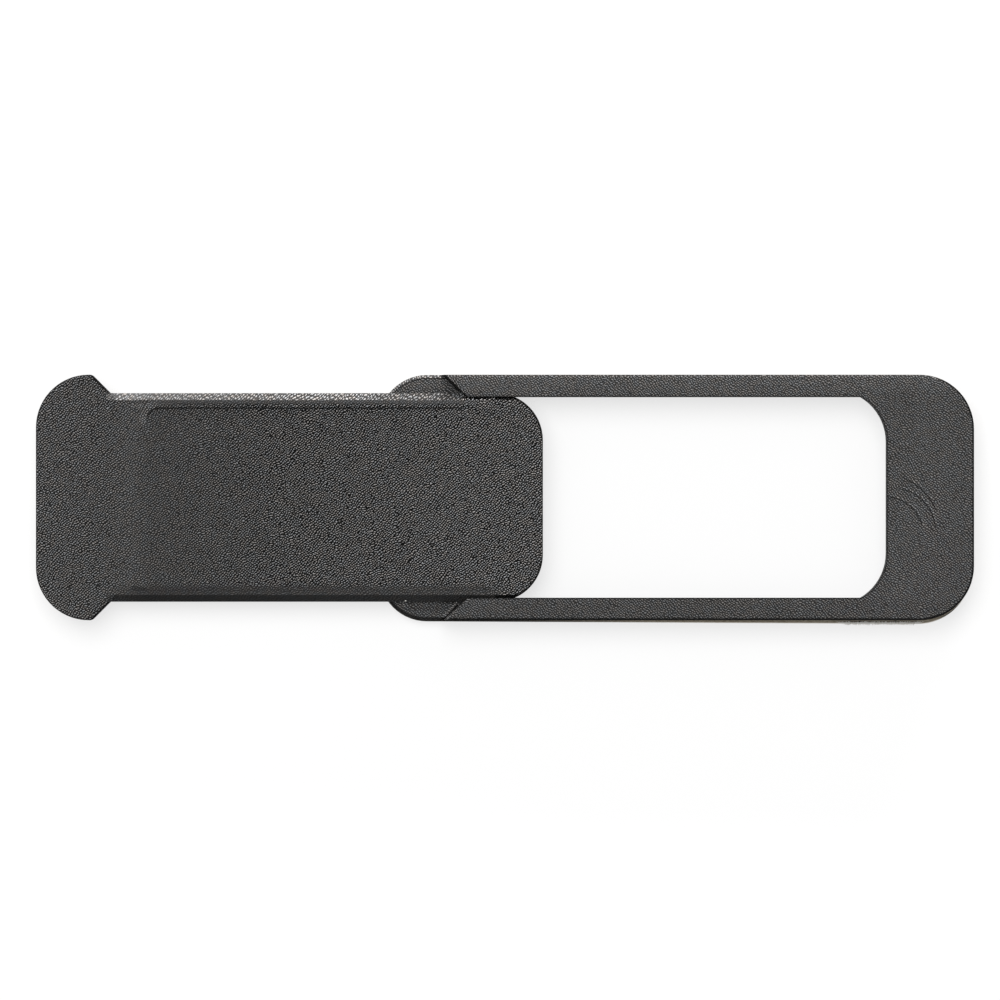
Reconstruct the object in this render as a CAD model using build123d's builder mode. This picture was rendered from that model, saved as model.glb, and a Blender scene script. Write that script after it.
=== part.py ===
from build123d import *
import os

# Sliding webcam cover: a base frame that sticks over the lens, and a bevelled shutter that slides in it.
# Millimetres. The origin is the middle of the open lens window, on the surface that the cover lies on.
# X is the direction of travel, towards closed, and Z points out of the face.

# Release liner and adhesive tape, laid a little low and askew under the base
liner_thickness = 0.08
liner_overhang = 0.05
tape_thickness = 0.2
tape_inset = 0.1
tape_window_margin = 0.45
tape_drop = 0.22
tape_turn = -0.29

# Base moulding
base_width = 14.92
base_height = 1.7
base_edge_radius = 0.18
rail_width = 1.35
rail_end_draft = 9.0
end_block_length = 5.3
block_corner_radius = 3.3
floor_thickness = 0.55
floor_length = 6.8
floor_corner_radius = 0.7
step_corner_radius = 2.95
step_chamfer = 0.2
way_corner_radius = 3.15

# Shutter: how far it slides, and how much of it stays past the floor when it is open
travel = 20.8
tip_land = 3.2
tip_corner_radius = 2.85
slider_edge_radius = 0.08
bevel_width = 0.43
bevel_height = 0.43

# Eared thumb end of the shutter: rounded corner, short flat side and rounded point
ear_corner_radius = 3.2
ear_flat = 0.2
ear_point_radius = 0.3

# Stop rib on the floor, and the pocket under the shutter that it runs in
rib_width = 0.45
rib_engagement = 0.25
pocket_rim = 0.7
pocket_corner_radius = 0.7
panel_depth = 0.04
panel_wall_angle = 78.0

# Clearances
side_clearance = 0.2
running_clearance = 0.06
tip_clearance = 0.1
stop_clearance = 0.05
rib_top_clearance = 0.1
ear_end_clearance = 0.45

# How far a cut runs past the moulding that it cuts
cut_reach = 1.0

# Heights: the shutter's face is flush with the rails
tape_bottom = liner_thickness
base_bottom = tape_bottom + tape_thickness
base_top = base_bottom + base_height
floor_top = base_bottom + floor_thickness
slider_bottom = floor_top + running_clearance
slider_thickness = base_top - slider_bottom
knee_height = base_top - bevel_height
rib_height = running_clearance + rib_engagement
pocket_depth = rib_engagement + rib_top_clearance

# Places along the travel, with the shutter open
window_end = (travel + tip_clearance) / 2
slider_tip = window_end - tip_clearance - travel
floor_end = slider_tip - tip_land
base_left = floor_end - floor_length
base_right = window_end + end_block_length
base_length = base_right - base_left
base_middle = (base_left + base_right) / 2
slider_left = base_left - travel
ear_length = ear_corner_radius + ear_flat
rib_middle = floor_end - rib_width / 2
pocket_left = floor_end - rib_width - stop_clearance - travel
pocket_right = floor_end + stop_clearance
pocket_middle = (pocket_left + pocket_right) / 2
pocket_length = pocket_right - pocket_left

# Widths: the dovetail way is one clearance wider than the shutter on each side, and the ears are flush
lip_opening = base_width - 2 * rail_width
way_width = lip_opening + 2 * bevel_width
way_length = window_end - base_left
slider_width = way_width - 2 * side_clearance
ear_width = base_width
pocket_width = slider_width - 2 * pocket_rim
rib_length = pocket_width - 2 * pocket_corner_radius


# Outlines, drawn round the middle of the base
with BuildSketch() as base_outline:
    Rectangle(base_length, base_width)
    fillet(base_outline.vertices().group_by(Axis.X)[-1], block_corner_radius)
    fillet(base_outline.vertices().group_by(Axis.X)[0], step_corner_radius)

with BuildSketch() as way_outline:
    with Locations((base_left - base_middle, 0)):
        Rectangle(way_length, way_width, align=(Align.MIN, Align.CENTER))
    fillet(way_outline.vertices().group_by(Axis.X)[-1], way_corner_radius)

with BuildSketch() as window_outline:
    add(way_outline.sketch)
    with Locations((floor_end - base_middle, 0)):
        Rectangle(way_length, lip_opening, align=(Align.MIN, Align.CENTER), mode=Mode.INTERSECT)
    fillet(window_outline.vertices().group_by(Axis.X)[0], floor_corner_radius)

with BuildSketch() as pocket_outline:
    RectangleRounded(pocket_length, pocket_width, pocket_corner_radius)


# Dovetail section, across the travel: upright sides up to the knee, then leaning in to the top
def dovetail(width, bottom):
    with BuildSketch() as section:
        with BuildLine():
            Polyline(
                (0, bottom),
                (width / 2, bottom),
                (width / 2, knee_height),
                (width / 2 - bevel_width, base_top),
                (0, base_top),
            )
            mirror(about=Plane.YZ)
        make_face()
    return section.sketch


way_section = dovetail(way_width, floor_top)
slider_section = dovetail(slider_width, slider_bottom)


# Room in the base that the shutter runs in
with BuildPart() as slider_way:
    with BuildSketch(Plane((base_middle, 0, floor_top))):
        add(way_outline.sketch)
    extrude(amount=base_top - floor_top)
    with BuildSketch(Plane.YZ.offset(base_left)):
        add(way_section)
    extrude(amount=way_length, mode=Mode.INTERSECT)


# Base frame: floor, rails, end block, low step for the ears and stop rib, all one moulding
with BuildPart() as base_frame:
    with BuildSketch(Plane((base_middle, 0, base_bottom))):
        add(base_outline.sketch)
    extrude(amount=base_height)
    fillet(base_frame.faces().sort_by(Axis.Z)[-1].edges(), base_edge_radius)

    # Low step, ended by the drafted diagonal ends of the rails
    rail_foot = base_left + ear_length + ear_end_clearance
    with BuildSketch(Plane.XY.offset(floor_top)):
        with BuildLine():
            Polyline(
                (base_left - cut_reach, 0),
                (base_left - cut_reach, base_width / 2 + cut_reach),
                (rail_foot - cut_reach, base_width / 2 + cut_reach),
                (rail_foot + rail_width, lip_opening / 2),
                (rail_foot + rail_width, 0),
            )
            mirror(about=Plane.XZ)
        make_face()
    extrude(amount=base_height, taper=-rail_end_draft, mode=Mode.SUBTRACT)
    step_edges = base_frame.edges().filter_by_position(Axis.Z, floor_top, floor_top)
    chamfer(step_edges.filter_by_position(Axis.X, base_left, rail_foot), step_chamfer)

    # Way for the shutter, and the lens window through the floor
    add(slider_way.part, mode=Mode.SUBTRACT)
    with BuildSketch(Plane((base_middle, 0, base_bottom))):
        add(window_outline.sketch)
    extrude(amount=floor_thickness, mode=Mode.SUBTRACT)

    # Stop rib along the window's edge of the floor
    with BuildSketch(Plane((rib_middle, 0, floor_top))):
        Rectangle(rib_width, rib_length)
    extrude(amount=rib_height)


# Shutter plate, from inside the ears to the rounded tip
with BuildPart() as shutter:
    shutter_start = slider_left + ear_length
    with BuildSketch(Plane((shutter_start, 0, slider_bottom))) as shutter_outline:
        Rectangle(slider_tip - shutter_start, slider_width, align=(Align.MIN, Align.CENTER))
        fillet(shutter_outline.vertices().group_by(Axis.X)[-1], tip_corner_radius)
    extrude(amount=slider_thickness)
    with BuildSketch(Plane.YZ.offset(shutter_start)):
        add(slider_section)
    extrude(amount=slider_tip - shutter_start, mode=Mode.INTERSECT)
    face_edges = shutter.faces().sort_by(Axis.Z)[-1].edges()
    fillet(face_edges.filter_by_position(Axis.X, slider_tip - tip_corner_radius, slider_tip), slider_edge_radius)


# Slider: eared thumb end and shutter, one moulding
with BuildPart() as slider:
    with BuildSketch(Plane((slider_left, 0, slider_bottom))) as ear_outline:
        with BuildLine():
            Polyline(
                (0, 0),
                (0, ear_width / 2),
                (ear_length, ear_width / 2),
                (ear_length + ear_width / 2, 0),
            )
            mirror(about=Plane.XZ)
        make_face()
        fillet(ear_outline.vertices().group_by(Axis.X)[0], ear_corner_radius)
        ear_points = ear_outline.vertices().filter_by_position(Axis.X, ear_length, ear_length)
        fillet(ear_points, ear_point_radius)
    extrude(amount=slider_thickness)
    fillet(slider.faces().sort_by(Axis.Z)[-1].edges(), slider_edge_radius)
    add(shutter.part)

    # Pocket for the stop rib, and the shallow panel that it leaves on the face above
    with BuildSketch(Plane((pocket_middle, 0, slider_bottom))):
        add(pocket_outline.sketch)
    extrude(amount=pocket_depth, mode=Mode.SUBTRACT)
    with BuildSketch(Plane((pocket_middle, 0, base_top))):
        add(pocket_outline.sketch)
    extrude(amount=-panel_depth, taper=panel_wall_angle, mode=Mode.SUBTRACT)


# Adhesive tape: a die-cut frame, inside the base's outline and back from the window
with BuildPart() as adhesive_tape:
    with BuildSketch(Plane((base_middle, -tape_drop, tape_bottom)).rotated((0, 0, tape_turn))):
        offset(base_outline.sketch, amount=-tape_inset)
        offset(window_outline.sketch, amount=tape_window_margin, mode=Mode.SUBTRACT)
    extrude(amount=tape_thickness)


# Release liner: the peel-off paper under the tape, a little larger than it
with BuildPart() as release_liner:
    with BuildSketch(Plane((base_middle, -tape_drop, 0)).rotated((0, 0, tape_turn))):
        offset(base_outline.sketch, amount=liner_overhang - tape_inset)
        offset(window_outline.sketch, amount=tape_window_margin - liner_overhang, mode=Mode.SUBTRACT)
    extrude(amount=liner_thickness)


base_frame.part.label = "base_frame"
slider.part.label = "slider"
adhesive_tape.part.label = "adhesive_tape"
release_liner.part.label = "release_liner"

os.makedirs("parts", exist_ok=True)
export_step(base_frame.part, "parts/base_frame.step")
export_step(slider.part, "parts/slider.step")
export_step(adhesive_tape.part, "parts/adhesive_tape.step")
export_step(release_liner.part, "parts/release_liner.step")
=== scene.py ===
import bpy
import bmesh
import math
import random
from mathutils import Matrix, Vector


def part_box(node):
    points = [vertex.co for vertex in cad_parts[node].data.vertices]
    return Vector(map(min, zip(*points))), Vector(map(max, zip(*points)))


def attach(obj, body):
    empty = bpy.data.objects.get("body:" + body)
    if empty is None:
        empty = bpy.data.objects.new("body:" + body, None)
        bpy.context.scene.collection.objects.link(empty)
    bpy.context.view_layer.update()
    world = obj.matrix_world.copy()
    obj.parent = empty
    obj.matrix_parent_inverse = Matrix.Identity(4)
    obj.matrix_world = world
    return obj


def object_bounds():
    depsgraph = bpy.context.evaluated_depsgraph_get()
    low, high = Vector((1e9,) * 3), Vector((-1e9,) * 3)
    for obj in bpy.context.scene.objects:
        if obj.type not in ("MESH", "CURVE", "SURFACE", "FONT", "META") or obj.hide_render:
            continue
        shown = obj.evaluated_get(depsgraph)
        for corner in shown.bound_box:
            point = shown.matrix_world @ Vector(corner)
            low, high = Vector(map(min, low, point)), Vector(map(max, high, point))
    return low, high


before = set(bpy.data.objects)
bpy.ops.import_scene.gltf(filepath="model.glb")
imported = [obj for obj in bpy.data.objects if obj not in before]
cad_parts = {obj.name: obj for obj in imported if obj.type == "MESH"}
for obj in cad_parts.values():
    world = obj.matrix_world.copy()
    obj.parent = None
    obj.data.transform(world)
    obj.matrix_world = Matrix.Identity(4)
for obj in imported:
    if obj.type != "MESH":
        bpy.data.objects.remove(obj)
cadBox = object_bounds()
scene = bpy.context.scene
mm = 0.001
print("frame loaded:", ", ".join(sorted(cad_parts)))


# places on the part in mm, most of them taken from the frame

def planOf(node):    # left, right, bottom, top
    low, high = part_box(node)
    return low.x / mm, high.x / mm, low.y / mm, high.y / mm


baseOutline = planOf("base_frame")
baseCorner = 2.95        # radius of its left corners
sliderLeft, sliderRight = planOf("slider")[:2]
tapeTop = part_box("adhesive_tape")[1].z / mm
farLeft = -80.0          # left side of an outline whose left end doesn't matter


# small helpers for node trees

def feed(tree, socket, value):
    if isinstance(value, bpy.types.NodeSocket):
        tree.links.new(value, socket)
    else:
        socket.default_value = value


def addNode(tree, kind, inputs=None, **settings):
    node = tree.nodes.new(kind)
    for name, value in settings.items():
        setattr(node, name, value)
    for name, value in (inputs or {}).items():
        feed(tree, node.inputs[name], value)
    return node


def split(tree, place):
    return addNode(tree, "ShaderNodeSeparateXYZ", {"Vector": place}).outputs


def calc(tree, operation, first, second=0.0):
    return addNode(tree, "ShaderNodeMath", {0: first, 1: second}, operation=operation).outputs[0]


def product(tree, first, *others):
    for other in others:
        first = calc(tree, "MULTIPLY", first, other)
    return first


def flip(tree, mask):
    return calc(tree, "SUBTRACT", 1.0, mask)


def farFrom(tree, first, second):    # length of the vector (first, second)
    return calc(tree, "SQRT", calc(tree, "ADD", product(tree, first, first), product(tree, second, second)))


def between(tree, value, low, high, start=0.0, end=1.0):    # low at start to high at end
    node = addNode(tree, "ShaderNodeMapRange", {"Value": value, "From Min": start, "From Max": end,
                                                "To Min": low, "To Max": high})
    return node.outputs["Result"]


def rise(tree, value, start, end):    # 0 before start, 1 after end, smooth between; start may be the higher
    low, high = (0.0, 1.0) if start < end else (1.0, 0.0)
    node = addNode(tree, "ShaderNodeMapRange", {"Value": value, "From Min": min(start, end),
                                                "From Max": max(start, end), "To Min": low, "To Max": high},
                   interpolation_type="SMOOTHSTEP")
    return node.outputs["Result"]


def strip(tree, value, low, high, soft):    # 1 between low and high, with soft sides
    return product(tree, rise(tree, value, low - soft, low + soft),
                   rise(tree, value, high + soft, high - soft))


def within(tree, value, zone):    # the same for a zone out of a look
    return strip(tree, value, zone["from"], zone["to"], zone["soft"])


def shade(tree, mask, tone):    # 1 where the mask is 0, tone where it is 1
    return between(tree, mask, 1.0, tone)


def ramp(tree, value, stops):    # stops are (place, grey or colour)
    node = addNode(tree, "ShaderNodeValToRGB", {"Fac": value})
    points = node.color_ramp.elements
    while len(points) < len(stops):
        points.new(0.5)
    for point, (place, tone) in zip(points, stops):
        point.position = place
        point.color = (*((tone,) * 3 if isinstance(tone, float) else tone), 1.0)
    return node.outputs["Color"]


def tint(tree, colour, by):    # colour times a tone or another colour
    node = addNode(tree, "ShaderNodeMix", data_type="RGBA", blend_type="MULTIPLY")
    for socket, value in (("Factor", 1.0), (6, colour), (7, by)):
        feed(tree, node.inputs[socket], value)
    return node.outputs[2]


def noise(tree, place, size, detail=0.0, grit=0.5, swirl=0.0):
    node = addNode(tree, "ShaderNodeTexNoise", {"Vector": place, "Scale": 1 / size, "Detail": detail,
                                                "Roughness": grit, "Distortion": swirl})
    return node.outputs["Fac"]


def bump(tree, shader, height, depth, strength=1.0):
    node = addNode(tree, "ShaderNodeBump", {"Height": height, "Strength": strength, "Distance": depth * mm})
    feed(tree, shader.inputs["Normal"], node.outputs["Normal"])


def newFinish(name):
    material = bpy.data.materials.new(name)
    material.use_nodes = True
    tree = material.node_tree
    tree.nodes.clear()
    out = addNode(tree, "ShaderNodeOutputMaterial")
    shader = addNode(tree, "ShaderNodeBsdfPrincipled")
    tree.links.new(shader.outputs["BSDF"], out.inputs["Surface"])
    place = addNode(tree, "ShaderNodeTexCoord").outputs["Object"]
    scaled = addNode(tree, "ShaderNodeMapping", {"Vector": place, "Scale": (1 / mm, 1 / mm, 1 / mm)})
    return material, tree, shader, scaled.outputs["Vector"]    # the place is in mm


def wear(node, material):
    for slot in node.material_slots:
        slot.material = material


# rounded rectangles in plan, given as left, right, bottom, top and the radius of the corners

def pastCore(tree, axes, box, radius):    # in x and y: mm from the middle, and past the straight stretch
    left, right, bottom, top = box
    steps = []
    for axis, low, high in (("X", left, right), ("Y", bottom, top)):
        fromMiddle = calc(tree, "SUBTRACT", axes[axis], (low + high) / 2)
        past = calc(tree, "SUBTRACT", calc(tree, "ABSOLUTE", fromMiddle), (high - low) / 2 - radius)
        steps.append((fromMiddle, past))
    return steps


def outside(tree, axes, box, radius):    # mm outside the rectangle, negative inside it
    pastX, pastY = [past for fromMiddle, past in pastCore(tree, axes, box, radius)]
    corner = farFrom(tree, calc(tree, "MAXIMUM", pastX, 0.0), calc(tree, "MAXIMUM", pastY, 0.0))
    inner = calc(tree, "MINIMUM", calc(tree, "MAXIMUM", pastX, pastY), 0.0)
    return calc(tree, "SUBTRACT", calc(tree, "ADD", corner, inner), radius)


def outward(tree, axes, box, radius):    # x and y of a unit vector away from the rectangle
    steps = [product(tree, calc(tree, "MAXIMUM", past, 0.0), calc(tree, "SIGN", fromMiddle))
             for fromMiddle, past in pastCore(tree, axes, box, radius)]
    length = farFrom(tree, *steps)
    return [calc(tree, "DIVIDE", step, length) for step in steps]


# spark-eroded grain of both mouldings: fine worms that lean one way, crossed by fainter ones

grainLook = {
    "lean": 40.0,                # degrees from the direction of travel
    "period": 0.133,             # mm from line to line
    "crossLean": -28.0,
    "crossPeriod": 0.133,
    "crossShare": 0.38,
    "wormLength": 0.27,          # mm, about
    "order": 0.76,               # 1 for straight lines, 0 for lines all ways
    "face": cadBox[1].z / mm,
    "skew": (0.4, 0.4),          # mm of x and y for each mm of z, on the bevels
    "wallReach": (-0.02, -0.005),    # mm outside an outline, where its wall starts and is full
    "crestReach": (0.27, 0.53),
    "crestShare": 0.25,          # of the face, about
    "grainDepth": 0.022,         # mm
    "pit": (0.002, 0.002, 0.002),
    "crest": (0.240, 0.240, 0.239),
    "dotSize": 0.085,            # mm, of the lone dark pits
    "dotReach": (0.32, 0.26),
    "dotTone": 0.1,
    "tintSize": 0.35,            # mm, of a faint change from warm to cool
    "tintDetail": 1.0,
    "tintReach": (0.38, 0.62),
    "warm": (1.035, 0.99, 0.96),
    "cool": (0.965, 0.995, 1.035),
    "pitRough": 0.7,
    "crestRough": 0.32,
    "sheen": 0.05,
}


def worms(tree, place, look, period, lean):    # -1 to 1 across wandering lines of an even height
    scale = 1 / look["wormLength"]
    lines = addNode(tree, "ShaderNodeTexGabor", {
        "Vector": place,
        "Scale": scale,
        "Frequency": 1 / period / scale,
        "Anisotropy": look["order"],
        "Orientation": math.radians(90 + lean),
    }, gabor_type="2D")
    return calc(tree, "SINE", product(tree, lines.outputs["Phase"], 2 * math.pi))


def sparkGrain(tree, place, look):    # -1 in the pits to 1 on the crests
    main = worms(tree, place, look, look["period"], look["lean"])
    cross = worms(tree, place, look, look["crossPeriod"], look["crossLean"])
    return calc(tree, "ADD", product(tree, main, 1 - look["crossShare"]),
                product(tree, cross, look["crossShare"]))


def unfold(tree, place, look, walls):    # lays the face's grain over the bevels and down the walls
    axes = split(tree, place)
    depth = calc(tree, "SUBTRACT", look["face"], axes["Z"])
    flat = addNode(tree, "ShaderNodeCombineXYZ")
    for number, axis in enumerate("XY"):
        skew = look["skew"][number]
        move = -skew
        for mask, away in walls:
            turned = calc(tree, "ADD", away[number], skew)
            move = calc(tree, "ADD", product(tree, mask, turned), move)
        feed(tree, flat.inputs[axis], calc(tree, "ADD", axes[axis], product(tree, depth, move)))
    return flat.outputs[0]


def mouldedPlastic(tree, shader, place, look, walls, strength, tone):    # walls are (mask, way out in plan)
    grain = sparkGrain(tree, unfold(tree, place, look, walls), look)
    share = look["crestShare"]
    sharp = calc(tree, "SUBTRACT", rise(tree, grain, *look["crestReach"]), share)
    crest = calc(tree, "ADD", product(tree, sharp, strength), share)
    body = ramp(tree, crest, [(0.0, look["pit"]), (1.0, look["crest"])])
    warmth = noise(tree, place, look["tintSize"], look["tintDetail"])
    cast = ramp(tree, warmth, list(zip(look["tintReach"], (look["warm"], look["cool"]))))
    dots = rise(tree, noise(tree, place, look["dotSize"]), *look["dotReach"])
    tone = product(tree, tone, shade(tree, product(tree, dots, strength), look["dotTone"]))
    feed(tree, shader.inputs["Base Color"], tint(tree, tint(tree, body, cast), tone))
    feed(tree, shader.inputs["Roughness"], between(tree, crest, look["pitRough"], look["crestRough"]))
    bump(tree, shader, product(tree, grain, strength), look["grainDepth"])
    shader.inputs["Specular IOR Level"].default_value = look["sheen"]


# base frame: painted light and shade on its rails, walls, edges and low lugs, and scuffs on the end block

frameLook = {
    **grainLook,
    "lean": -40.0,
    "crossLean": 28.0,
    "strength": 0.63,
    "cloudSize": 4.0,            # mm, of faint pale patches
    "cloudDetail": 2.0,
    "cloudReach": (0.35, 0.65),
    "cloudTones": (0.98, 1.06),
    "block": (farLeft, *baseOutline[1:]),      # right end of the outline, which has larger corners
    "blockCorner": 3.3,
    "way": (farLeft, 10.45, -6.54, 6.54),      # the slider's way between the rails
    "wayCorner": 3.15,
    "lip": 6.11,                 # half width between the rails' lips
    "sideFrom": (6.0, 6.05),     # away from the middle, where a side starts and is full
    "upperRail": {"from": 5.9, "to": 7.2, "tone": 1.25},      # y, paler outwards: painted light on the upper rail
    "lowerRail": {"from": -5.9, "to": -6.6, "tone": 0.9},     # y, darker outwards: painted shade on the lower rail
    "lipLine": {"width": 0.075, "soft": 0.02, "tone": 0.4},   # painted shade, a dark line round the window
    "wall": {"from": 0.87, "to": 1.81, "soft": 0.015, "tone": 0.30},         # z of the inner walls, darkened as painted shade
    # painted shade on the outer walls
    "outerWallTone": 0.55,
    "edge": {"from": 1.81, "to": 1.965, "soft": 0.01, "tone": 0.06},         # z of the rounded outer edge, darkened as painted shade
    "upperEdge": {"from": 7.2, "soft": 0.05, "tone": 0.6},                   # y where its upper side starts, with less painted shade
    "railEnd": {"from": -9.2, "to": -8.8, "soft": 0.02},      # x + |y| at the lower rail's slanted end
    "litEnd": {"from": 1.35, "soft": 0.04, "tone": 1.4},      # z where its lit part starts, painted light
    "railFootTone": 0.25,        # painted shade on the part below
    "litFoot": {"from": -9.34, "to": -9.2, "soft": 0.03, "tone": 2.4},       # x + |y|, painted highlight along its foot
    "lug": {"from": 0.8, "to": 0.86, "soft": 0.01, "tone": 1.03},            # z of the lugs' top
    # painted light on the lower lug, against the slider's shadow there
    "lowerLugTone": 1.22,
    "lowerRim": {"from": 0.58, "to": 0.79, "soft": 0.02, "tone": 0.3},       # z of the lower lug's bevel, darkened as painted shade
    "upperLug": {"from": 0.6, "to": 0.86, "soft": 0.01},                     # z of the top and the bevel
    "upperRim": {"from": -0.15, "to": 0.01, "soft": 0.015, "tone": 1.35},    # mm outside the outline, painted highlight on the upper lug's rim
    "upperRimLine": {"from": -0.25, "to": -0.17, "soft": 0.015, "tone": 0.2},    # painted shade, a dark line inside the rim
    "paintedLightBySlider": {"from": -6.6, "to": -6.2, "soft": 0.15, "tone": 2.0},    # y of painted light on the lower lug beside the slider, lifting the shade it casts
    "scuffs": [                  # centre x, y, radius, from y, to y
        (10.01, -2.25, 3.74, -0.80, 1.20),
        (10.84, -1.98, 2.54, -1.75, 0.55),
        (10.26, -2.34, 2.41, -1.65, 0.12),
    ],
    "scuffWidth": 0.075,
    "scuffFade": 0.2,            # mm at its ends
    "scuffTone": 0.22,
    "scuffLip": 0.1,             # mm from the dark line to the pale one beside it
    "scuffLipTone": 1.6,
}


def framePlaces(tree, axes, look):    # where a point lies on the frame
    at = {"x": axes["X"], "y": axes["Y"], "z": axes["Z"]}
    start, full = look["sideFrom"]
    at["upper"] = rise(tree, at["y"], start, full)
    at["lower"] = rise(tree, at["y"], -start, -full)
    fromMiddle = calc(tree, "ABSOLUTE", at["y"])
    at["slant"] = calc(tree, "ADD", at["x"], fromMiddle)
    at["fromOutline"] = calc(tree, "MAXIMUM", outside(tree, axes, baseOutline, baseCorner),
                             outside(tree, axes, look["block"], look["blockCorner"]))
    at["fromWindow"] = calc(tree, "MAXIMUM", outside(tree, axes, look["way"], look["wayCorner"]),
                            calc(tree, "SUBTRACT", fromMiddle, look["lip"]))
    at["outerWall"] = rise(tree, at["fromOutline"], *look["wallReach"])
    at["notOuter"] = flip(tree, at["outerWall"])
    return at


# painted light on the upper rail, painted shade on the lower rail and round the window
def railTones(tree, at, look):
    line = look["lipLine"]
    nearLip = rise(tree, at["fromWindow"], line["width"] + line["soft"], line["width"] - line["soft"])
    tones = [shade(tree, nearLip, line["tone"])]
    for rail in (look["upperRail"], look["lowerRail"]):
        tones.append(shade(tree, rise(tree, at["y"], rail["from"], rail["to"]), rail["tone"]))
    return tones


# painted shade on walls and rounded edges, painted light on the lower rail's slanted end
def wallTones(tree, at, look):
    wall, edge, litEnd, upperEdge = (look[name] for name in ("wall", "edge", "litEnd", "upperEdge"))
    railEnd = product(tree, within(tree, at["slant"], look["railEnd"]), at["lower"])
    lit = product(tree, railEnd, strip(tree, at["z"], litEnd["from"], edge["to"], litEnd["soft"]))
    foot = product(tree, railEnd, strip(tree, at["z"], wall["from"], litEnd["from"], litEnd["soft"]))
    unlit = flip(tree, lit)
    inner = product(tree, within(tree, at["z"], wall), unlit, at["notOuter"])
    outer = product(tree, at["outerWall"], rise(tree, at["z"], wall["to"], wall["to"] - 2 * wall["soft"]))
    rounded = product(tree, within(tree, at["z"], edge), unlit)
    start, soft = upperEdge["from"], upperEdge["soft"]
    upper = rise(tree, at["y"], start - soft, start + soft)
    return [
        shade(tree, foot, look["railFootTone"]),
        shade(tree, lit, litEnd["tone"]),
        shade(tree, inner, wall["tone"]),
        shade(tree, outer, look["outerWallTone"]),
        shade(tree, product(tree, rounded, upper), upperEdge["tone"]),
        shade(tree, product(tree, rounded, flip(tree, upper)), edge["tone"]),
    ]


# painted light and shade on the lugs
def lugTones(tree, at, look):
    lug = product(tree, within(tree, at["z"], look["lug"]), at["notOuter"])
    lowerLug = product(tree, lug, at["lower"])
    lowerRim = product(tree, within(tree, at["z"], look["lowerRim"]), at["lower"], at["notOuter"])
    upperLug = product(tree, within(tree, at["z"], look["upperLug"]), at["upper"])
    tones = [
        shade(tree, lug, look["lug"]["tone"]),
        shade(tree, lowerLug, look["lowerLugTone"]),
        shade(tree, lowerRim, look["lowerRim"]["tone"]),
    ]
    lines = (("litFoot", "slant", lowerLug), ("paintedLightBySlider", "y", lug),
             ("upperRim", "fromOutline", upperLug), ("upperRimLine", "fromOutline", upperLug))
    for name, measure, lugMask in lines:
        line = product(tree, within(tree, at[measure], look[name]), lugMask)
        tones.append(shade(tree, line, look[name]["tone"]))
    return tones


def scuffLine(tree, at, mark, look, beside):    # right half of a thin arc, moved outwards by beside
    x, y, radius, low, high = mark
    half = look["scuffWidth"] / 2
    line = radius + beside
    away = farFrom(tree, calc(tree, "SUBTRACT", at["x"], x), calc(tree, "SUBTRACT", at["y"], y))
    return product(tree, strip(tree, away, line - half, line + half, half),
                   strip(tree, at["y"], low, high, look["scuffFade"]),
                   rise(tree, at["x"], x, x + look["scuffWidth"]))


def scuffTones(tree, at, look):
    tones = []
    for mark in look["scuffs"]:
        for beside, tone in ((0.0, look["scuffTone"]), (look["scuffLip"], look["scuffLipTone"])):
            tones.append(shade(tree, scuffLine(tree, at, mark, look, beside), tone))
    return tones


def frameFinish():
    look = frameLook
    material, tree, shader, place = newFinish("charcoalFrame")
    axes = split(tree, place)
    at = framePlaces(tree, axes, look)
    clouds = noise(tree, place, look["cloudSize"], look["cloudDetail"])
    tones = [between(tree, clouds, *look["cloudTones"], *look["cloudReach"])]
    for paint in (railTones, wallTones, lugTones, scuffTones):
        tones += paint(tree, at, look)
    start, full = look["wallReach"]
    windowWall = rise(tree, at["fromWindow"], -start, -full)
    walls = [(at["outerWall"], outward(tree, axes, baseOutline, baseCorner)),
             (windowWall, outward(tree, axes, look["way"], look["wayCorner"]))]
    mouldedPlastic(tree, shader, place, look, walls, look["strength"], product(tree, *tones))
    return material


# slider: painted light and shade along it, on its bevels and round the panel on its face, and painted dark
# lines round its ears and tip

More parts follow.
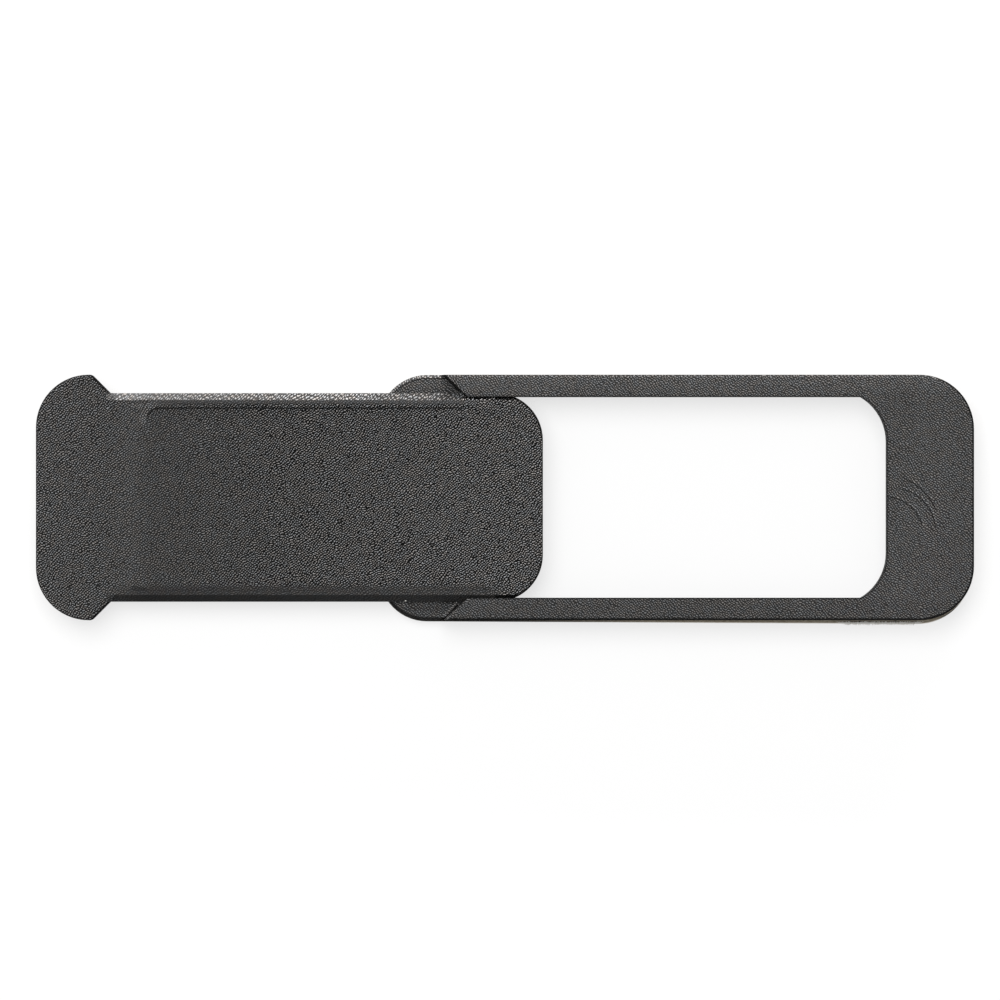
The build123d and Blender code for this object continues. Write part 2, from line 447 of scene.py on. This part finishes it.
sliderLook = {
    **grainLook,
    "outline": (sliderLeft, sliderRight, -6.34, 6.34),      # left, right, bottom, top, without the ears
    "corner": 2.85,
    "tone": [                    # mm from the thumb end, value; painted light and shade along the slider
        (0.0, 1.06), (4.6, 0.96), (5.8, 0.96), (7.0, 0.79),
        (9.0, 0.82), (16.0, 0.985), (26.0, 1.15), (30.8, 1.19),
    ],
    "strength": [(0.0, 0.9), (4.2, 0.86), (6.0, 0.67), (9.0, 0.8), (16.0, 1.06), (30.8, 1.1)],
    "strips": {                  # from y, to y, from and to along the slider, tone
        # painted shade on the lower bevel
        "lowerBevel": (-6.6, -5.93, 4.3, 31.0, 0.58),
        # painted reflection of the back panel on the upper bevel
        "upperBevel": (5.93, 6.6, 4.3, 26.0, 1.9),
        "railShade": (5.93, 6.6, 24.6, 26.0, 0.55),        # upper bevel just before the rail
        "upperGap": (6.03, 6.6, 26.0, 31.0, 0.2),          # upper bevel in under the rail, painted shade
        "upperLip": (5.93, 6.03, 26.0, 31.0, 2.0),         # and its inner edge there, painted highlight
        "lowerLedge": (-5.66, -5.42, 5.8, 27.6, 0.65),     # lower wall of the panel, painted shade
        "upperLedge": (5.44, 5.65, 5.8, 27.6, 1.35),       # upper wall of the panel, painted light
        "upperLine": (5.655, 5.71, 8.5, 26.0, 0.5),        # painted shade, a dark line along the panel's upper edge
    },
    "stripSoft": (0.02, 0.1),    # mm across and along
    "bevelStrength": {"lowerBevel": 0.8, "upperBevel": 0.66},
    "besideLug": {"from": 20.4, "to": 25.4, "soft": 0.3, "tone": 0.64},      # along the upper bevel, painted shade beside the lug
    "upperBand": {"from": 5.66, "to": 5.92, "soft": 0.06, "tone": 0.94, "strength": 0.4},    # y
    "upperBandAlong": {"from": 6.9, "to": 26.5, "soft": 1.2},
    "lowerBand": {"from": -5.15, "to": -5.68, "tone": 0.61, "strength": 0.45},      # y, and full below; smoother, and darkened as painted shade
    "lowerBandAlong": {"from": 4.9, "to": 28.0, "soft": 1.2},
    "creaseLine": (-34.5, -13.60, -5.43, 5.43),      # left, right, bottom, top of the crease in the panel, a line of painted shade
    "creaseCorner": 0.75,
    "creaseWidth": 0.085,
    "creaseTone": 0.22,
    "creaseFrom": (4.6, 5.1),    # y where it starts and is full
    "creaseEnd": (26.5, 25.5),   # along the slider, where it is gone and still full
    "cornerRim": {"from": 0.08, "to": 0.45, "soft": 0.05, "tone": 1.6},      # mm outside the crease, painted highlight on the panel's corner
    "cornerRimX": (-33.6, -34.2),    # x where that pale rim starts and is full
    "cornerRimY": (4.2, 4.8),        # and y
    "wall": {"from": 0.8, "to": 1.53, "soft": 0.015, "tone": 0.30},      # z, walls darkened as painted shade
    "edge": {"from": 1.53, "to": 1.972, "soft": 0.005, "tone": 0.2},     # z, round the ears and the tip, darkened as painted shade
    "plateAcross": {"from": -6.6, "to": 6.6, "soft": 0.02},      # y of the plate between them
    "plateAlong": {"from": 4.0, "to": 27.9, "soft": 0.1},
    "lineTone": 0.12,            # of the painted shade lines round the tip and the ears
    "tipLine": (-0.14, -0.10),   # mm outside the outline, where it starts and is full
    "tipLineFrom": (3.4, 4.2),   # the same away from the middle
    "tipLineAlong": (27.9, 28.2),    # and along the slider
    "earSlant": 10.86,           # along plus away from the middle, on the ears' slanted ends
    "earLine": {"from": -0.168, "to": 0.2, "soft": 0.03},      # mm past that
    "earLineFrom": (6.2, 6.4),   # away from the middle, where it starts and is full
}


def sliderPlaces(tree, axes, look):    # where a point lies on the slider
    at = {"x": axes["X"], "y": axes["Y"], "z": axes["Z"]}
    at["along"] = calc(tree, "SUBTRACT", at["x"], look["outline"][0])
    at["fromMiddle"] = calc(tree, "ABSOLUTE", at["y"])
    at["fromOutline"] = outside(tree, axes, look["outline"], look["corner"])
    at["fromCrease"] = outside(tree, axes, look["creaseLine"], look["creaseCorner"])
    return at


def alongSlider(tree, at, stops, look):    # stops are (mm from the thumb end, value)
    length = look["outline"][1] - look["outline"][0]
    top = max(value for place, value in stops)
    shares = [(place / length, value / top) for place, value in stops]
    return product(tree, ramp(tree, calc(tree, "DIVIDE", at["along"], length), shares), top)


def stripMasks(tree, at, look):
    acrossSoft, alongSoft = look["stripSoft"]
    knee = look["wall"]["to"]
    aboveWall = rise(tree, at["z"], knee, knee + acrossSoft)
    masks = {}
    for name, (low, high, first, last, tone) in look["strips"].items():
        masks[name] = product(tree, strip(tree, at["y"], low, high, acrossSoft), aboveWall,
                              strip(tree, at["along"], first, last, alongSoft))
    return masks


def bandMasks(tree, at, look):    # smoother bands beside the panel, the lower one also with painted shade
    lower = look["lowerBand"]
    return {
        "upperBand": product(tree, within(tree, at["y"], look["upperBand"]),
                             within(tree, at["along"], look["upperBandAlong"])),
        "lowerBand": product(tree, rise(tree, at["y"], lower["from"], lower["to"]),
                             within(tree, at["along"], look["lowerBandAlong"])),
    }


# painted shade in the crease and a painted highlight on its corner's rim
def creaseTones(tree, at, look):
    half = look["creaseWidth"] / 2
    crease = product(tree, strip(tree, at["fromCrease"], -half, half, half / 2),
                     rise(tree, at["y"], *look["creaseFrom"]), rise(tree, at["along"], *look["creaseEnd"]))
    rim = product(tree, within(tree, at["fromCrease"], look["cornerRim"]),
                  rise(tree, at["x"], *look["cornerRimX"]), rise(tree, at["y"], *look["cornerRimY"]))
    return [shade(tree, crease, look["creaseTone"]), shade(tree, rim, look["cornerRim"]["tone"])]


def outlineTones(tree, at, look):    # painted shade on walls and rounded edges, and as dark lines round the tip and the ears
    onPlate = product(tree, within(tree, at["y"], look["plateAcross"]),
                      within(tree, at["along"], look["plateAlong"]))
    edges = product(tree, within(tree, at["z"], look["edge"]), flip(tree, onPlate))
    tipLine = product(tree, rise(tree, at["fromOutline"], *look["tipLine"]),
                      rise(tree, at["fromMiddle"], *look["tipLineFrom"]),
                      rise(tree, at["along"], *look["tipLineAlong"]))
    slant = calc(tree, "ADD", at["along"], at["fromMiddle"])
    pastEar = calc(tree, "SUBTRACT", slant, look["earSlant"])
    earLine = product(tree, within(tree, pastEar, look["earLine"]),
                      rise(tree, at["fromMiddle"], *look["earLineFrom"]))
    return [
        shade(tree, within(tree, at["z"], look["wall"]), look["wall"]["tone"]),
        shade(tree, edges, look["edge"]["tone"]),
        shade(tree, calc(tree, "MAXIMUM", tipLine, earLine), look["lineTone"]),
    ]


def sliderFinish():
    look = sliderLook
    material, tree, shader, place = newFinish("charcoalSlider")
    axes = split(tree, place)
    at = sliderPlaces(tree, axes, look)
    strips = stripMasks(tree, at, look)
    bands = bandMasks(tree, at, look)
    besideLug = product(tree, strips["upperBevel"], within(tree, at["along"], look["besideLug"]))
    tones = [alongSlider(tree, at, look["tone"], look), shade(tree, besideLug, look["besideLug"]["tone"])]
    tones += [shade(tree, mask, look["strips"][name][-1]) for name, mask in strips.items()]
    tones += [shade(tree, mask, look[name]["tone"]) for name, mask in bands.items()]
    tones += creaseTones(tree, at, look) + outlineTones(tree, at, look)
    strengths = [alongSlider(tree, at, look["strength"], look)]
    strengths += [shade(tree, mask, look[name]["strength"]) for name, mask in bands.items()]
    strengths += [shade(tree, strips[name], strength) for name, strength in look["bevelStrength"].items()]
    walls = [(rise(tree, at["fromOutline"], *look["wallReach"]),
              outward(tree, axes, look["outline"], look["corner"]))]
    mouldedPlastic(tree, shader, place, look, walls, product(tree, *strengths), product(tree, *tones))
    return material


# tape, papers and dust: two colours mixed by noise, with darkening over them

tapeLook = {
    "size": 0.2, "detail": 4.0, "grit": 0.65, "swirl": 0.0,      # size in mm
    "dark": (0.33, 0.275, 0.197), "pale": (0.53, 0.467, 0.367), "reach": (0.35, 0.65),
    "rough": 0.6, "bump": 0.5, "depth": 0.02,
    "darkerStretch": {"from": 7.8, "to": 12.5, "soft": 0.3, "tone": 0.55},      # x, darker stretch of tape beside the shred
    "darkerBelow": (-7.49, -7.53),     # y where it starts and is full
}
paperLook = {
    "detail": 5.0, "grit": 0.6, "swirl": 0.4, "reach": (0.3, 0.6),
    "rough": 0.7, "bump": 0.4, "depth": 0.01,
}
linerLook = {**paperLook, "size": 0.3, "dark": (0.68, 0.63, 0.53), "pale": (0.83, 0.80, 0.73)}
tornLook = {**paperLook, "size": 0.12, "dark": (0.83, 0.80, 0.73), "pale": (0.89, 0.88, 0.84)}
dustLook = {
    "size": 0.05, "detail": 3.0, "grit": 0.5, "swirl": 0.0,
    "dark": (0.012, 0.010, 0.009), "pale": (0.07, 0.055, 0.045), "reach": (0.4, 0.6),
    "rough": 0.9, "bump": 0.6, "depth": 0.01,
}
rimLook = {                      # darker along the ends of the tape's and the liner's outer rim
    "reach": (-0.05, 0.0),       # mm outside the base's outline, where it starts and is full
    "left": (-2.0, -14.0),       # x where it starts and is full
    "right": (13.4, 14.6),
    "tone": 0.05,
}


def rimDarkening(tree, place):
    axes = split(tree, place)
    rim = rise(tree, outside(tree, axes, baseOutline, baseCorner), *rimLook["reach"])
    ends = calc(tree, "ADD", rise(tree, axes["X"], *rimLook["left"]),
                rise(tree, axes["X"], *rimLook["right"]))
    return shade(tree, product(tree, rim, ends), rimLook["tone"])


# darkens the tape beside the shred
def darkerByShred(tree, place):
    axes = split(tree, place)
    darkerStretch = tapeLook["darkerStretch"]
    beside = product(tree, within(tree, axes["X"], darkerStretch), rise(tree, axes["Y"], *tapeLook["darkerBelow"]))
    return shade(tree, beside, darkerStretch["tone"])


def mottled(name, look, *darkenings):
    material, tree, shader, place = newFinish(name)
    mottle = noise(tree, place, look["size"], look["detail"], look["grit"], look["swirl"])
    colour = ramp(tree, mottle, list(zip(look["reach"], (look["dark"], look["pale"]))))
    for darkening in darkenings:
        colour = tint(tree, colour, darkening(tree, place))
    feed(tree, shader.inputs["Base Color"], colour)
    shader.inputs["Roughness"].default_value = look["rough"]
    bump(tree, shader, mottle, look["depth"], look["bump"])
    return material


wear(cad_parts["base_frame"], frameFinish())
wear(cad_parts["slider"], sliderFinish())
wear(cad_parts["adhesive_tape"], mottled("brownTape", tapeLook, darkerByShred, rimDarkening))
wear(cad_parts["release_liner"], mottled("creamLiner", linerLook, rimDarkening))
print("finishes on the mouldings, tape and liner")


# loose bits: a shred of the release paper on the tape's edge, dust beside it, a fleck on the slider

def addPiece(name, shape, material, body):
    bmesh.ops.recalc_face_normals(shape, faces=shape.faces)
    mesh = bpy.data.meshes.new(name)
    shape.to_mesh(mesh)
    shape.free()
    mesh.materials.append(material)
    piece = bpy.data.objects.new(name, mesh)
    scene.collection.objects.link(piece)
    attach(piece, body)
    return piece


shredLook = {
    "from": 7.4, "to": 12.8,     # mm along the lower edge
    "inner": -7.58, "outer": -7.76,
    "ragged": 0.035,
    "narrow": 0.12,              # share of the length over which each end comes to a point
    "tapeEdge": -7.64,           # y where the tape ends under the shred
    "above": 0.02,               # over the tape
    "droop": 0.09,               # of the outer edge
    "thickness": 0.015,
    "cells": (110, 4),
    "torn": 0.24,                # share of the outer cells that is missing
    "seed": 11,
}


def makeShred(material):
    look = shredLook
    dice = random.Random(look["seed"])
    long, wide = look["cells"]
    innerWave = [dice.uniform(-1, 1) * look["ragged"] for step in range(long + 2)]
    outerWave = [dice.uniform(-1, 1) * look["ragged"] for step in range(long + 2)]
    shape = bmesh.new()
    bmesh.ops.create_grid(shape, x_segments=long, y_segments=wide, size=0.5)
    for vert in shape.verts:
        along, across = vert.co.x + 0.5, 0.5 - vert.co.y
        step = round(along * long)
        inner = look["inner"] + innerWave[step]
        outer = look["outer"] + outerWave[step]
        width = (outer - inner) * min(1.0, min(along, 1 - along) / look["narrow"])
        y = inner + width * across
        beyond = max(0.0, look["tapeEdge"] - y) / (look["tapeEdge"] - look["outer"])
        z = tapeTop + look["above"] - look["droop"] * beyond * beyond
        vert.co = Vector((look["from"] + (look["to"] - look["from"]) * along, y, z)) * mm
    torn = [face for face in shape.faces if dice.random() < look["torn"]
            and face.calc_center_median().y < look["tapeEdge"] * mm]
    bmesh.ops.delete(shape, geom=torn, context="FACES")
    bmesh.ops.solidify(shape, geom=shape.faces, thickness=look["thickness"] * mm)
    return addPiece("paper_shred", shape, material, "base")


dustPlaces = {                   # x, y and size in mm, seed
    "dust_left": (8.30, -7.545, 0.045, 3),
    "dust_middle": (8.85, -7.56, 0.055, 4),
    "dust_right": (11.05, -7.535, 0.05, 6),
}
dustShape = {
    "rounds": 2,                 # of subdivision
    "lumps": (0.75, 1.15),       # shares of the size
    "stretch": (1.3, 0.8, 0.5),
    "lift": 0.55,                # share of the size, from the tape to the middle
}


def makeDust(name, x, y, size, seed, material):
    dice = random.Random(seed)
    middle = Vector((x, y, tapeTop + size * dustShape["lift"]))
    stretch = Vector(dustShape["stretch"])
    shape = bmesh.new()
    bmesh.ops.create_icosphere(shape, subdivisions=dustShape["rounds"], radius=size)
    for vert in shape.verts:
        vert.co *= dice.uniform(*dustShape["lumps"])
        vert.co = (middle + vert.co * stretch) * mm
    return addPiece(name, shape, material, "base")


fleckLook = {
    "centre": (-18.80, -6.285, 1.62),
    "size": (0.10, 0.05),
    "cells": (6, 4),
    "fray": 0.5,                 # share of the size that its rim may lose
    "curl": 0.006,
    "thickness": 0.02,
    "tilt": 45,                  # degrees, as the bevel under it
    "turn": 12,
    "seed": 8,
}


def makeFleck(material):
    look = fleckLook
    dice = random.Random(look["seed"])
    shape = bmesh.new()
    bmesh.ops.create_grid(shape, x_segments=look["cells"][0], y_segments=look["cells"][1], size=0.5)
    for vert in shape.verts:
        rim = 1.0 - look["fray"] * max(abs(vert.co.x), abs(vert.co.y)) * dice.random()
        vert.co.x *= look["size"][0] * rim
        vert.co.y *= look["size"][1] * rim
        vert.co.z = dice.uniform(0.0, look["curl"])
    bmesh.ops.solidify(shape, geom=shape.faces, thickness=look["thickness"])
    turn = (Matrix.Scale(mm, 4) @ Matrix.Translation(look["centre"])
            @ Matrix.Rotation(math.radians(look["tilt"]), 4, "X")
            @ Matrix.Rotation(math.radians(look["turn"]), 4, "Z"))
    bmesh.ops.transform(shape, matrix=turn, verts=shape.verts)
    return addPiece("paper_fleck", shape, material, "slider")


tornPaper = mottled("tornPaper", tornLook)
darkDust = mottled("darkDust", dustLook)
makeShred(tornPaper)
for name, (x, y, size, seed) in dustPlaces.items():
    makeDust(name, x, y, size, seed, darkDust)
makeFleck(tornPaper)
print("loose bits laid")


# white table and its soft shadow

floorLook = {
    "size": 3.0,                 # metres
    "albedo": (0.95, 0.95, 0.95, 1),
    "glow": 0.69,                # share of plain white that the camera sees, the rest is lit
    "below": 0.02 * mm,
}


def makeFloor():
    shape = bmesh.new()
    bmesh.ops.create_grid(shape, x_segments=1, y_segments=1, size=floorLook["size"] / 2)
    bmesh.ops.translate(shape, verts=shape.verts, vec=(0, 0, -floorLook["below"]))
    mesh = bpy.data.meshes.new("floor")
    shape.to_mesh(mesh)
    shape.free()
    floor = bpy.data.objects.new("floor", mesh)
    scene.collection.objects.link(floor)
    material = bpy.data.materials.new("whiteTable")
    material.use_nodes = True
    tree = material.node_tree
    tree.nodes.clear()
    out = addNode(tree, "ShaderNodeOutputMaterial")
    lit = addNode(tree, "ShaderNodeBsdfDiffuse", {"Color": floorLook["albedo"]})
    glow = addNode(tree, "ShaderNodeEmission", {"Color": (1, 1, 1, 1), "Strength": 1.0})
    rays = addNode(tree, "ShaderNodeLightPath").outputs
    seen = calc(tree, "MAXIMUM", rays["Is Camera Ray"],
                calc(tree, "MAXIMUM", rays["Is Glossy Ray"], rays["Is Transmission Ray"]))
    mix = addNode(tree, "ShaderNodeMixShader", {"Fac": product(tree, seen, floorLook["glow"])})
    tree.links.new(lit.outputs[0], mix.inputs[1])
    tree.links.new(glow.outputs[0], mix.inputs[2])
    tree.links.new(mix.outputs[0], out.inputs["Surface"])
    mesh.materials.append(material)


makeFloor()
print("table laid")


# soft box above the upper edge, low panel behind it for the upper bevels, and a weak even room

studio = {
    "boxFrom": (-0.11, 0.235, 0.56),    # metres
    "boxSize": (0.56, 0.50),
    "boxPower": 3.45,                   # watts
    "panelFrom": (-0.05, 0.70, 0.065),
    "panelSize": (0.80, 0.11),
    "panelPower": 12.0,
    "panelColour": (1.0, 0.95, 0.915),
    "lampsAt": (-0.013, 0.0, 0.0),
    "room": 0.395,
}


def softLamp(name, place, size, power, colour=(1, 1, 1)):
    lamp = bpy.data.lights.new(name, "AREA")
    lamp.shape = "RECTANGLE"
    lamp.size, lamp.size_y = size
    lamp.energy = power
    lamp.color = colour
    holder = bpy.data.objects.new(name, lamp)
    holder.location = place
    holder.rotation_mode = "QUATERNION"
    holder.rotation_quaternion = (Vector(studio["lampsAt"]) - Vector(place)).to_track_quat("-Z", "Y")
    scene.collection.objects.link(holder)


def makeRoom():
    world = bpy.data.worlds.new("room")
    world.use_nodes = True
    tree = world.node_tree
    tree.nodes.clear()
    out = addNode(tree, "ShaderNodeOutputWorld")
    rays = addNode(tree, "ShaderNodeLightPath").outputs
    level = between(tree, rays["Is Camera Ray"], studio["room"], 1.0)    # white to the camera
    sky = addNode(tree, "ShaderNodeBackground", {"Color": (1, 1, 1, 1), "Strength": level})
    tree.links.new(sky.outputs[0], out.inputs["Surface"])
    scene.world = world


softLamp("softBox", studio["boxFrom"], studio["boxSize"], studio["boxPower"])
softLamp("backPanel", studio["panelFrom"], studio["panelSize"], studio["panelPower"], studio["panelColour"])
makeRoom()
print("lamps and room set")


# straight down on the face, framed as the photo

shot = {
    "imageSide": 1000,                    # pixels
    "pixelsPerMm": 16.463,                # at the face of the cover
    "windowCentre": (714.95, 497.45),     # pixel where the lens window's middle lies
    "distance": 0.5,                      # metres above the face
    "sensor": 36.0,
    "clip": (0.1, 10.0),                  # shares of the distance
}


def makeCamera():
    data = bpy.data.cameras.new("camera")
    seenWidth = shot["imageSide"] / shot["pixelsPerMm"] * mm
    data.sensor_width = shot["sensor"]
    data.lens = shot["sensor"] * shot["distance"] / seenWidth
    data.clip_start, data.clip_end = (share * shot["distance"] for share in shot["clip"])
    camera = bpy.data.objects.new("camera", data)
    middle = shot["imageSide"] / 2
    across, down = shot["windowCentre"]
    camera.location = ((middle - across) / shot["pixelsPerMm"] * mm,
                       (down - middle) / shot["pixelsPerMm"] * mm,
                       cadBox[1].z + shot["distance"])
    scene.collection.objects.link(camera)
    scene.camera = camera


makeCamera()
scene.view_settings.view_transform = "Standard"
print("camera set")
